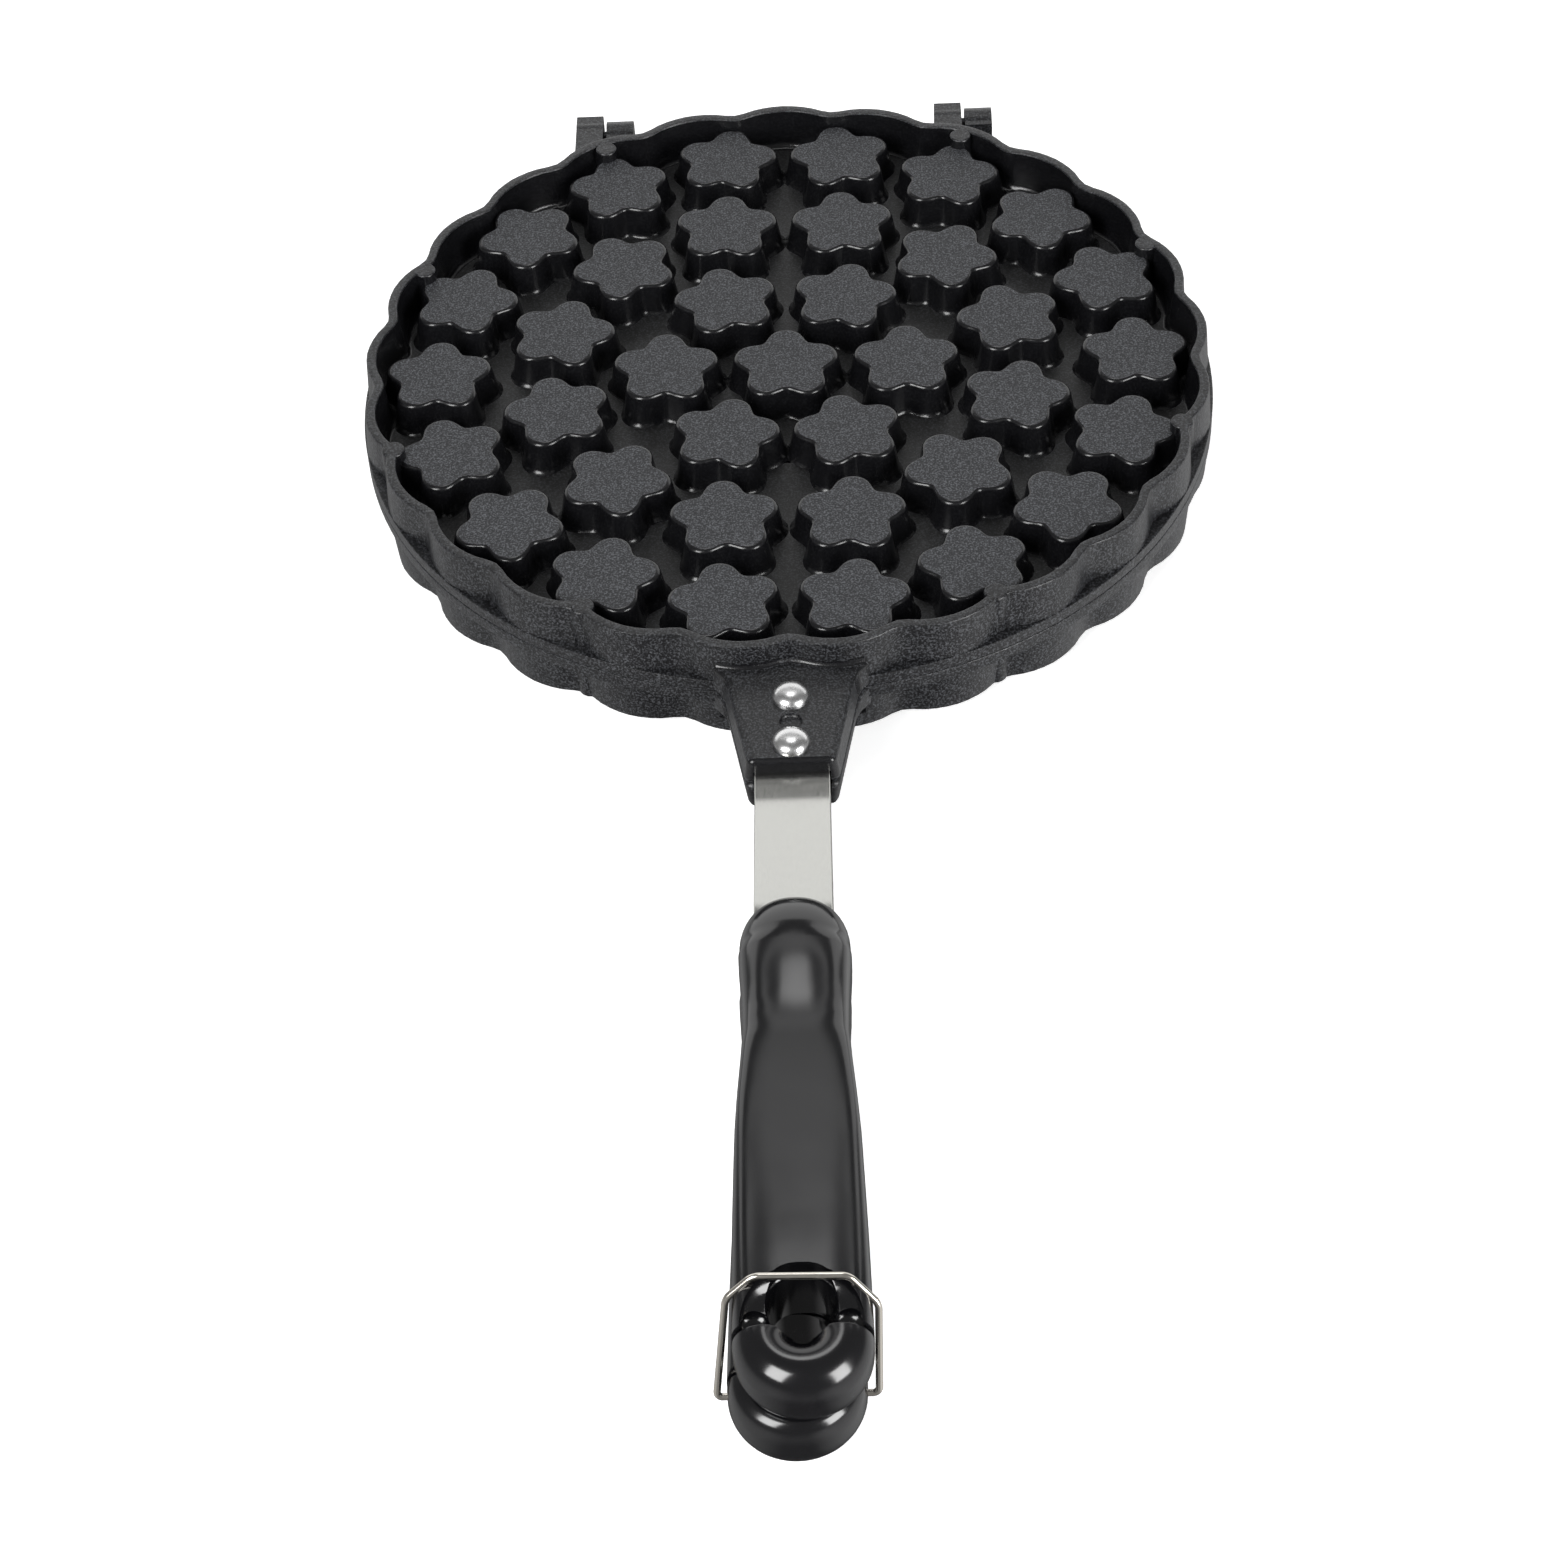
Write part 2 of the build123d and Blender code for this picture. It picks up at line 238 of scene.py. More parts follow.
plate = {
    "lobes": 25, "pointsPerLobe": 10,
    "lobeRadius": 114.9, "meanRadius": 113.73,
    "waves": ((1, 1.43), (2, -0.31), (3, 0.10)),  # how many to a lobe, and how far each goes out
    "wall": 2.7, "height": 15.0, "web": 3.0, "gap": 0.15,
    "side": ((0, 1.009), (3.25, 1.0075)),  # height above the gap
    "rimEdge": ((0.5, 0.0005), (0.15, -0.0015), (0, -0.0045)),  # depth below the top, and how far out
    "foot": ((2.2, 0.0085), (1.0, 0.0115), (0.3, 0.0165), (0, 0.024)),  # height above the web, and how far in
    "flangeRadius": 116.0, "flangeHeight": 3.6, "flangeSides": 360,
    # height above the gap, and depth below the flange's top
    "flangeLow": ((0, 0.9985), (0.3, 1)), "flangeHigh": ((0.35, 1), (0.1, 0.9993), (0, 0.998)),
}


def scallopOutline(angle):
    phase = (pi / 2 - angle) * plate["lobes"]
    return plate["meanRadius"] + sum(size * cos(count * phase) for count, size in plate["waves"])


def newScallop(name, low):
    scallop = newDisc(name, plate["lobes"] * plate["pointsPerLobe"], plate["lobeRadius"], (0, 0, low))
    radial(scallop, scallopOutline)
    return scallop


def makeCore():
    # all that lies within the middle of the wall, to cut away what reaches in from outside
    core = newScallop("core", -1)
    middle = 1 - plate["wall"] / 2 / plate["lobeRadius"]
    drawUp(core, [(-1, middle), (plate["height"] + 1, middle)])
    return core


def makeTin():
    gap, top, web, outer = plate["gap"], plate["height"], plate["web"], plate["lobeRadius"]
    inner = (outer - plate["wall"]) / outer
    tin = newScallop("casting", gap)
    # up the outside, over the rounded rim and down inside to the floor
    rows = [(gap + up, size) for up, size in plate["side"]]
    rows += [(top - down, 1 + out) for down, out in plate["rimEdge"]]
    rows += [(top - down, inner - out) for down, out in reversed(plate["rimEdge"])]
    rows += [(web + up, inner - narrower) for up, narrower in plate["foot"]]
    drawUp(tin, rows)
    flange = newDisc("flange", plate["flangeSides"], plate["flangeRadius"], (0, 0, gap))
    rows = [(gap + up, size) for up, size in plate["flangeLow"]]
    rows += [(plate["flangeHeight"] - down, size) for down, size in plate["flangeHigh"]]
    drawUp(flange, rows)
    carve(flange, makeCore(), "DIFFERENCE")
    carve(tin, flange, "UNION")
    cutInCells(tin)
    return tin


# Petal moulds: a boss on the outside and a cavity in the parting face

mould = {
    "rings": ((0, 1, 0), (32.8, 6, 30), (63.9, 12, 15), (95.0, 18, 10)),  # radius, count, first clock angle
    "points": 60, "petals": 5, "blunt": -0.25,  # radius = mean + swing cos5 + blunt cos10
    "mean": 12.85, "swing": 1.90, "top": 12.0,
    "side": ((1.8, 1.30), (2.9, 1.2), (3.15, 1.175), (3.6, 1.138), (4.4, 1.110), (6.5, 1.078), (9.0, 1.048)),
    "roll": ((1.05, 1.02), (0.75, 1.014), (0.48, 1.002), (0.26, 0.984), (0.1, 0.962),
             (0.02, 0.94), (0, 0.92)),  # depth below the top
    "cavityMean": 11.55, "cavitySwing": 1.65, "cavityDepth": 9.0,
    "mouth": ((0, 1.03), (0.12, 1.015), (0.4, 1.005)),  # height above the parting face
    "waist": (2, 0.99),
    "roof": ((1.4, 0.94), (0.9, 0.925), (0.4, 0.89), (0.1, 0.85), (0, 0.80)),  # depth below the roof
}


def petalOutline(mean, swing):
    def radius(angle):
        petals = mould["petals"]
        return mean + swing * cos(petals * angle) + mould["blunt"] * cos(2 * petals * angle)
    return radius


def makeBoss():
    side = list(mould["side"])
    boss = newDisc("boss", mould["points"], 10, (0, 0, side[0][0]))
    radial(boss, petalOutline(mould["mean"], mould["swing"]))
    drawUp(boss, side + [(mould["top"] - down, size) for down, size in mould["roll"]])
    return boss


def makeCavity():
    cavity = newDisc("cavity", mould["points"], 10, (0, 0, -1))
    radial(cavity, petalOutline(mould["cavityMean"], mould["cavitySwing"]))
    rows = [(-1, mould["mouth"][0][1])] + [(plate["gap"] + up, size) for up, size in mould["mouth"]]
    rows += [mould["waist"]] + [(mould["cavityDepth"] - down, size) for down, size in mould["roof"]]
    drawUp(cavity, rows)
    return cavity


def spread(thing, name):
    # one copy at each mould's place; the left side mirrors the right
    copies = []
    for radius, count, first in mould["rings"]:
        for i in range(count):
            clock = (first + i * 360 / count) % 360
            x, y = clockPlace(radius, clock)
            facing = 90 if radius == 0 else (180 - clock if clock < 180 else -clock)
            twin = copyOf(thing, name)
            twin.location = (x * mm, y * mm, 0)
            twin.rotation_euler = (0, 0, radians(facing))
            copies.append(twin)
    bpy.data.objects.remove(thing)
    clearSelection()
    for twin in copies:
        twin.select_set(True)
    bpy.context.view_layer.objects.active = copies[0]
    bpy.ops.object.transform_apply()
    return merge(name, copies)


# Posts that stand at the wall

post = {
    "clocks": (28.0, 67.0, 107.8, 151.6), "radius": 3.1, "circle": 109.9, "foot": 1.5,
    "neckTop": 8.5, "neckWidth": 3.4, "neckLength": 9.0, "neckEdge": 1.2,
    "side": ((0, 1.1), (2.5, 1.03)),  # height above the foot
    "head": ((0.9, 1), (0.4, 0.97), (0.12, 0.90), (0.02, 0.82)),  # depth below the rim
}


def makePosts():
    things = []
    centre, foot = post["circle"], post["foot"]
    rows = [(foot + up, size) for up, size in post["side"]]
    rows += [(plate["height"] - down, size) for down, size in post["head"]]
    for clock in post["clocks"]:
        for side in (1, -1):
            peg = newDisc("post", 40, post["radius"], (0, centre, foot))
            drawUp(peg, rows, (0, centre))
            w = post["neckWidth"] / 2
            neck = newBox("neck", (-w, centre - post["neckLength"], foot), (w, centre, post["neckTop"]))
            bevelEdges(neck, post["neckEdge"], 35, 4)
            carve(peg, neck, "UNION")
            peg.rotation_euler = (0, 0, radians(-side * clock))
            pick(peg)
            bpy.ops.object.transform_apply()
            things.append(peg)
    return things


# Hinge lugs

lugs = {
    "y": 122.8, "knuckle": 4.8, "width": 8.0, "gap": 1.0, "innerX": 45.0, "edge": 0.5,
    "top": 4.6, "root": 98.0, "dip": 3.6, "tongueStart": 117.6, "tongueEnd": 124.3,
    "pin": 2.0, "play": 0.05, "pinInset": 0.15, "pinEdge": 0.3,
}


def makeLug(innerX, bore):
    # a bar out from the wall that ends in a knuckle round the pin
    y, r, endX = lugs["y"], lugs["knuckle"], innerX + lugs["width"]
    bar = newBox("lug", (innerX, lugs["root"], plate["gap"]), (endX, y + r, lugs["top"]))
    carve(bar, newRod("knuckle", 64, r, innerX, endX, y, 0), "UNION")
    tongue = newBox("tongue", (innerX, lugs["tongueStart"], -lugs["dip"]), (endX, lugs["tongueEnd"], 1))
    carve(bar, tongue, "UNION")
    bevelEdges(bar, lugs["edge"], 40, 3)
    carve(bar, newRod("bore", 48, bore, innerX - 1, endX + 1, y, 0), "DIFFERENCE")
    return bar


def makePin():
    start = lugs["innerX"] + lugs["pinInset"]
    end = lugs["innerX"] + 2 * lugs["width"] + lugs["gap"] - lugs["pinInset"]
    pin = newRod("hingePin", 40, lugs["pin"], start, end, lugs["y"], 0)
    bevelEdges(pin, lugs["pinEdge"], 50, 3)
    return pin


# Bracket for the strap

bracket = {
    "end": -147.4, "root": -113.5, "inside": -106.0, "halfEnd": 11.8, "halfRoot": 18.0,
    "flare": 7.0, "flareStart": 6.0, "flareLength": 10.0, "cuts": (-6, -3, 0, 2, 4),  # from the root
    "top": 8.4, "skin": 4.0, "side": 2.3, "lean": 1.1, "edge": 1.9,
    "fillet": 1.3, "filletSink": 0.3, "filletOut": 0.7, "filletSide": 0.6, "filletReach": (-130, -90),
    "rivets": (-126.0, -142.0), "dimpleY": -134.0, "dimpleRadius": 2.9, "dimpleDepth": 0.9,
    "dimpleSide": ((0, 0.88), (0.25, 0.96), (0.6, 1.0), (3, 1.0)),
}
strap = {
    "width": 18.5, "thick": 2.4, "start": -118.0, "bend": -157.0, "rise": -196.5, "end": -283.0,
    "softness": 0.05, "edge": 0.35, "cuts": 40, "cutMargin": 7,  # cuts from before the bend to past the rise
}
rivet = {
    "head": 4.75, "rise": 3.0, "ahead": 0.5, "sides": 64, "shank": 2.3, "tail": 3.6, "tailRise": 1.1,
    "sink": 0.3, "foot": ((0, 0.96), (0.3, 0.985), (0.45, 1.0), (0.65, 0.995)),
    "domeWide": 0.985, "domeBlunt": 0.82, "dome": (10, 20, 30, 40, 50, 60, 70, 79, 86),  # degrees up the head
    "tailSide": ((0, 0.86), (0.2, 0.97), (0.45, 1), (1.1, 1), (1.1, 0.63), (9.0, 0.63)),
}


def makeBracket():
    b = bracket
    body = newBox("bracket", (-b["halfEnd"], b["end"], plate["gap"]), (b["halfEnd"], b["inside"], b["top"]))
    cutAcross(body, [b["root"] + step for step in b["cuts"]])
    slope = (b["halfRoot"] - b["halfEnd"]) / (b["root"] - b["end"])
    for v in body.data.vertices:
        y = v.co.y / mm
        half = b["halfEnd"] + slope * (y - b["end"])
        share = min(1, max(0, (y - b["root"] + b["flareStart"]) / b["flareLength"]))
        half += b["flare"] * share**2
        if v.co.z / mm > b["top"] / 2:
            half -= b["lean"]
        v.co.x = (half if v.co.x > 0 else -half) * mm
    bevelEdges(body, b["edge"], 35, 5)
    hollow = newBox("hollow", (-1, b["end"] - 1, -1), (1, strap["start"] + 1, b["top"] - b["skin"]))
    for v in hollow.data.vertices:
        half = b["halfEnd"] + slope * (v.co.y / mm - b["end"]) - b["side"]
        v.co.x = (half if v.co.x > 0 else -half) * mm
    return body, hollow


def makeFillet():
    # the hollow curve where the bracket's top runs into the scalloped wall
    size, out, outer = bracket["fillet"], bracket["filletOut"], plate["lobeRadius"]
    low = bracket["top"] - bracket["filletSink"]
    fillet = newScallop("fillet", low)
    rows = [(low, 1 + (size + out + 0.1) / outer)]
    for i in range(9):
        angle = radians(90 * i / 8)
        rows.append((bracket["top"] + size * (1 - cos(angle)), 1 + (out + size * (1 - sin(angle))) / outer))
    drawUp(fillet, rows)
    wide = bracket["halfRoot"] + bracket["filletSide"]
    front, back = bracket["filletReach"]
    carve(fillet, newBox("reach", (-wide, front, 0), (wide, back, 20)), "INTERSECT")
    return fillet


def makeDimple():
    y = bracket["dimpleY"]
    dimple = newDisc("dimple", 48, bracket["dimpleRadius"], (0, y, bracket["top"] - bracket["dimpleDepth"]))
    drawUp(dimple, bracket["dimpleSide"], (0, y))
    return dimple


def makeHalf():
    tin = makeTin()
    print("casting: wall and flange")
    bosses = spread(makeBoss(), "bosses")
    body, hollow = makeBracket()
    outerX = lugs["innerX"] + lugs["width"] + lugs["gap"]
    outside = [body, makeFillet(), makeLug(lugs["innerX"], lugs["pin"] + lugs["play"]),
               makeLug(-outerX - lugs["width"], lugs["pin"])]
    for thing in outside:
        carve(thing, makeCore(), "DIFFERENCE")
    carve(tin, bosses, "UNION")
    print("casting: bosses")
    for thing in makePosts() + outside:
        carve(tin, thing, "UNION")
    print("casting: posts, lugs, bracket")
    carve(tin, spread(makeCavity(), "cavities"), "DIFFERENCE")
    carve(tin, hollow, "DIFFERENCE")
    for y in bracket["rivets"]:
        hole = newDisc("hole", 40, rivet["shank"], (0, y, 0))
        drawUp(hole, [(0, 1), (12, 1)], (0, y))
        carve(tin, hole, "DIFFERENCE")
    carve(tin, makeDimple(), "DIFFERENCE")
    print("casting: cavities and holes,", len(tin.data.polygons), "faces")
    return tin


# Handle

handle = {
    "thick": 18.0, "low": 0.25, "front": -195.3, "sides": 64, "underSquare": 5.5, "edge": 0.35,
    "noseLength": 15.5, "nosePlan": 14.5, "noseHalf": 12.9, "noseUnder": 5.5, "noseSquare": 2.25,
    "noseSteps": 14, "noseAngle": 1.5,
    # the thumb rest
    "swell": 1.6, "crest": -211.0, "swellEnd": -241.0, "swellEase": 0.35,
    # y, half width, squareness of the section
    "stations": ((-207, 12.95, 2.4), (-211, 13.15, 2.6), (-216, 13.0, 2.7), (-221, 12.7, 2.8),
                 (-226, 12.45, 2.9), (-231, 12.3, 3.1), (-237, 12.2, 3.8), (-244, 12.5, 5.6),
                 (-256, 13.4, 6.2), (-266, 14.0, 5.6), (-280, 14.4, 4.8), (-294, 14.75, 4.2),
                 (-306, 14.9, 3.8), (-318, 15.0, 3.2)),
    "fineStep": 1.6, "fineEnd": 240, "coarseStep": 4,
    "ringY": -318.0, "ringRadius": 15.0, "ringWidth": 13.5, "ringHeight": 15.2,
    "ringSquare": 2.0, "ringUnder": 3.2, "shoulder": 1.9,
    "scoopRadius": 14.2, "scoopFloor": 13.85,
    "scoopSide": ((0, 0.62), (0.25, 0.76), (0.9, 0.865), (2.0, 0.935), (3.2, 0.97), (4.8, 1.0), (9, 1.06)),
    "pocketX": 9.8, "pocketY": -316.2, "pocketRadius": 3.6, "pocketDepth": 2.3,
    "eyeY": -311.5, "eyeRadius": 7.75, "eyeHalf": 7.35, "eyeSquare": 2.7, "eyeStart": -5,
    # depth below the scoop's floor, from which the eye opens out
    "eyeEdge": ((0.9, 1), (0.5, 1.014), (0.2, 1.035), (0, 1.06), (-8, 1.06)),
    "slotStart": -190, "slotEnd": -215, "slotSide": 0.6, "slotPlay": 0.2,
    # how far each handle sits to the side, at its front and at its ring
    "swayUpper": (0.3, 0.65), "swayLower": (-0.2, -0.7),
}
screw = {
    "y": -262.0, "head": 3.6, "low": 0.4, "slotHalf": 0.45, "slotLength": 2.0, "slotTop": 1.7,
    "side": ((0, 0.97), (0.12, 1.0), (0.35, 1.0), (2.1, 0.53), (11, 0.5)),
    "seatLow": -1, "seat": ((0, 1.1), (1.3, 1.06), (3.2, 0.55), (12, 0.55)),
}


def sectionPoint(share, halfWidth, top, bottom, square, under=handle["underSquare"]):
    # a point of the handle's section: squarer below, where the two handles lie together
    c, d = cos(2 * pi * share), sin(2 * pi * share)
    exponent = 2 / (square if d >= 0 else under)
    height = top if d >= 0 else bottom
    return halfWidth * signedPower(c, exponent), height * signedPower(d, exponent)


def drawSections(thing, rows):
    # pulls a disc along its axis and gives each new section its own outline
    pick(thing)
    bpy.ops.object.mode_set(mode="EDIT")
    bpy.ops.mesh.select_all(action="SELECT")
    last = rows[0][0]
    mesh = thing.data
    for i, (along, *shape) in enumerate(rows):
        if i:
            bpy.ops.mesh.extrude_region_move(TRANSFORM_OT_translate={"value": (0, 0, (along - last) * mm)})
        bpy.ops.object.mode_set(mode="OBJECT")
        chosen = [v for v in mesh.vertices if v.select]
        for j, v in enumerate(chosen):
            x, y = sectionPoint(j / len(chosen), *shape)
            v.co.x, v.co.y = x * mm, y * mm
        bpy.ops.object.mode_set(mode="EDIT")
        last = along
    bpy.ops.mesh.select_all(action="SELECT")
    bpy.ops.mesh.normals_make_consistent(inside=False)
    bpy.ops.object.mode_set(mode="OBJECT")


def swellHeight(y):
    # the thumb rest: a crest near the front, then an even slope down to the flat grip
    h = handle
    share = (h["crest"] - y) / (h["crest"] - h["swellEnd"])
    ease = h["swellEase"]
    if share <= ease:
        fall = max(0, share) ** 2 / (2 * ease)
    elif share >= 1 - ease:
        fall = 1 - ease - max(0, 1 - share) ** 2 / (2 * ease)
    else:
        fall = share - ease / 2
    return h["swell"] * (1 - fall / (1 - ease))


def handleRows():
    # rows of (y, half width, height above and below the middle, squareness), from the nose to the ring
    h = handle
    half = h["thick"] / 2
    rows = []
    for i in range(h["noseSteps"] + 1):
        angle = h["noseAngle"] + (90 - h["noseAngle"]) * i / h["noseSteps"]
        depth = h["noseLength"] * (1 - cos(radians(angle)))
        wide = sqrt(max(0, 1 - max(0, 1 - depth / h["nosePlan"]) ** 2)) * h["noseHalf"]
        top = (half + h["swell"]) * sqrt(1 - (1 - min(1, depth / h["noseLength"])) ** 2)
        under = half * sqrt(1 - max(0, 1 - depth / h["noseUnder"]) ** 2)
        rows.append((-h["front"] + depth, wide, top, under, h["noseSquare"]))
    stations = h["stations"]
    y = -h["front"] + h["noseLength"]
    while y < -h["ringY"] - 1:
        y += h["fineStep"] if y < h["fineEnd"] else h["coarseStep"]
        ahead = next(i for i, row in enumerate(stations) if -row[0] > min(y, -h["ringY"] - 0.1))
        (y0, wide0, square0), (y1, wide1, square1) = stations[ahead - 1], stations[ahead]
        share = (y + y0) / (y0 - y1)
        wide = wide0 + share * (wide1 - wide0)
        rows.append((y, wide, half + swellHeight(-y), half, square0 + share * (square1 - square0)))
    return rows


def makeRing():
    # the bull-nosed ring: half a turn of an oval section about the ring's centre
    h = handle
    section = newDisc("ring", 48, 1, (0, 0, 0))
    middle = h["ringRadius"] - h["ringWidth"] / 2
    points = section.data.vertices
    for j, v in enumerate(points):
        x, z = sectionPoint(j / len(points), h["ringWidth"] / 2, h["ringHeight"] / 2, h["thick"] / 2,
                            h["ringSquare"], h["ringUnder"])
        v.co = ((middle + x) * mm, 0, z * mm)
    pick(section)
    bpy.ops.object.mode_set(mode="EDIT")
    bpy.ops.mesh.select_all(action="SELECT")
    bpy.ops.mesh.spin(steps=56, angle=-pi, center=(0, 0, 0), axis=(0, 0, 1))
    bpy.ops.mesh.select_all(action="SELECT")
    bpy.ops.mesh.remove_doubles(threshold=0.00001)
    bpy.ops.mesh.normals_make_consistent(inside=False)
    bpy.ops.object.mode_set(mode="OBJECT")
    if max(v.co.y for v in section.data.vertices) > 0.001:
        turn(section, "Z", 180)
    shift(section, (0, h["ringY"], h["low"] + h["thick"] / 2))
    return section


def makeEye():
    h = handle
    eye = newDisc("eye", 72, h["eyeRadius"], (0, h["eyeY"], h["eyeStart"]))
    for v in eye.data.vertices:  # a little longer than wide, with flatter sides
        angle = atan2(v.co.y / mm - h["eyeY"], v.co.x / mm)
        side = 1 if v.co.x > 0 else -1
        v.co.x = h["eyeHalf"] * mm * abs(cos(angle)) ** (2 / h["eyeSquare"]) * side
    floor = h["scoopFloor"] - h["eyeStart"]
    drawUp(eye, [(0, 1)] + [(floor - down, size) for down, size in h["eyeEdge"]], (0, h["eyeY"]))
    return eye


def makeHandle():
    h = handle
    middle = h["low"] + h["thick"] / 2
    grip = newDisc("grip", h["sides"], 1, (0, 0, -h["front"]))
    drawSections(grip, handleRows())
    turn(grip, "X", 90)
    shift(grip, (0, 0, middle))
    scoop = newDisc("scoop", 96, h["scoopRadius"], (0, h["ringY"], h["scoopFloor"]))
    drawUp(scoop, h["scoopSide"], (0, h["ringY"]))
    carve(grip, scoop, "DIFFERENCE")
    for side in (1, -1):
        place = (side * h["pocketX"], h["pocketY"], h["scoopFloor"])
        pocket = newBall("pocket", (h["pocketRadius"], h["pocketRadius"], h["pocketDepth"]), place)
        carve(grip, pocket, "DIFFERENCE")
    carve(grip, makeRing(), "UNION")
    for side in (1, -1):
        place = (side * (h["ringRadius"] - h["ringWidth"] / 2), h["ringY"], middle)
        shoulder = newBall("shoulder", (h["ringWidth"] / 2, h["shoulder"], h["ringHeight"] / 2), place)
        carve(grip, shoulder, "UNION")
    carve(grip, makeEye(), "DIFFERENCE")
    bevelEdges(grip, h["edge"], 42, 2)
    slotX, slotZ = strap["width"] / 2 + h["slotSide"], strap["thick"] / 2 + h["slotPlay"]
    low, high = (-slotX, h["slotEnd"], middle - slotZ), (slotX, h["slotStart"], middle + slotZ)
    slot = newBox("slot", low, high)
    carve(grip, slot, "DIFFERENCE")
    seat = newDisc("seat", 48, screw["head"], (0, screw["y"], screw["seatLow"]))
    drawUp(seat, screw["seat"], (0, screw["y"]))
    carve(grip, seat, "DIFFERENCE")
    return grip


def makeScrew():
    piece = newDisc("screw", 48, screw["head"], (0, screw["y"], screw["low"]))
    drawUp(piece, screw["side"], (0, screw["y"]))
    narrow, long = screw["slotHalf"], screw["slotLength"]
    for high, wide in ((long, narrow), (narrow, long)):  # a cross recess
        slot = newBox("slot", (-wide, screw["y"] - high, -1), (wide, screw["y"] + high, screw["slotTop"]))
        carve(piece, slot, "DIFFERENCE")
    return piece


# Strap, rivets and wire

def strapHeight(y):
    # middle height of the strip: level, an even rise, level again, with soft bends
    low = bracket["top"] - bracket["skin"] - strap["thick"] / 2
    high = handle["low"] + handle["thick"] / 2
    share = (strap["bend"] - y) / (strap["bend"] - strap["rise"])
    ease = strap["softness"]
    if share < ease:
        bent = max(0, share + ease) ** 2 / (4 * ease)
    elif share > 1 - ease:
        bent = 1 - max(0, 1 + ease - share) ** 2 / (4 * ease)
    else:
        bent = share
    return low + (high - low) * bent


def makeStrap():
    half = strap["thick"] / 2
    low, high = (-strap["width"] / 2, strap["end"], -half), (strap["width"] / 2, strap["start"], half)
    strip = newBox("strap", low, high)
    margin, cuts = strap["cutMargin"], strap["cuts"]
    length = strap["bend"] - strap["rise"] + 2 * margin
    cutAcross(strip, [strap["bend"] + margin - i * length / (cuts - 1) for i in range(cuts)])
    for v in strip.data.vertices:
        v.co.z += strapHeight(v.co.y / mm) * mm
    bevelEdges(strip, strap["edge"], 50, 3)
    return strip


def makeRivet(y):
    top = bracket["top"]
    under = top - bracket["skin"] - strap["thick"]
    dome = newDisc("rivet", rivet["sides"], rivet["head"], (0, y + rivet["ahead"], top - rivet["sink"]))
    rows = list(rivet["foot"])
    start = rows[-1][0]
    for angle in rivet["dome"]:
        rows.append((start + (rivet["rise"] + rivet["sink"] - start) * sin(radians(angle)),
                     rivet["domeWide"] * cos(radians(angle)) ** rivet["domeBlunt"]))
    drawUp(dome, rows, (0, y + rivet["ahead"]))
    tail = newDisc("tail", 40, rivet["tail"], (0, y, under - rivet["tailRise"]))
    drawUp(tail, rivet["tailSide"], (0, y))
    carve(dome, tail, "UNION")
    return dome


bail = {
    "wire": 0.8, "bend": 1.364, "lift": 0.9,
    # the corners: x, y and height, from one end of the wire to the other; the height is a share of the whole
    "corners": ((11.0, -318.0, 0), (16.5, -318.0, 0), (17.0, -310.5, 0.77), (10.9, -307.8, 1),
                (-9.3, -307.3, 1), (-15.2, -308.7, 0.80), (-18.2, -318.0, 0), (-11.0, -318.0, 0)),
}


def makeBail():
    b = bail
    pivotZ = -(handle["low"] + handle["thick"] / 2)
    barZ = handle["low"] + handle["thick"] + b["lift"]
    corners = [(x, y, pivotZ + share * (barZ - pivotZ)) for x, y, share in b["corners"]]
    clearSelection()
    bpy.ops.mesh.primitive_plane_add(size=1, location=(0, 0, 0))
    wire = bpy.context.object
    wire.name = wire.data.name = "wireBail"
    bpy.ops.object.mode_set(mode="EDIT")
    bpy.ops.mesh.select_all(action="SELECT")
    bpy.ops.mesh.merge(type="CENTER")
    bpy.ops.transform.translate(value=[c * mm for c in corners[0]])
    for before, after in zip(corners, corners[1:]):
        step = [(q - p) * mm for p, q in zip(before, after)]
        bpy.ops.mesh.extrude_vertices_move(TRANSFORM_OT_translate={"value": step})
    bpy.ops.mesh.select_all(action="SELECT")
    bpy.ops.mesh.bevel(offset=b["bend"] * mm, segments=8, affect="VERTICES", clamp_overlap=True)
    bpy.ops.object.mode_set(mode="OBJECT")
    bpy.ops.object.convert(target="CURVE")
    wire = bpy.context.object
    wire.data.bevel_depth = b["wire"] * mm
    wire.data.bevel_resolution = 6
    wire.data.use_fill_caps = True
    bpy.ops.object.convert(target="MESH")
    return wire


# The pieces in their places

upperPlate = makeHalf()
upperPlate.name = upperPlate.data.name = "upperPlate"
lowerPlate = copyOf(upperPlate, "lowerPlate")
for thing, half in ((upperPlate, "upper"), (lowerPlate, "lower")):
    settle(thing, half)
    smooth(thing)
    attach(thing, half)
    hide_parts(half + "_plate")
print("plates done")


def placePair(first, name, node, angle=32):
    # one made piece serves both halves
    pair = {"upper": first, "lower": copyOf(first, "lower" + name)}
    first.name = first.data.name = "upper" + name
    for half, thing in pair.items():
        settle(thing, half)
        smooth(thing, angle)
        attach(thing, half)
        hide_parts(half + "_" + node)
    return list(pair.values())


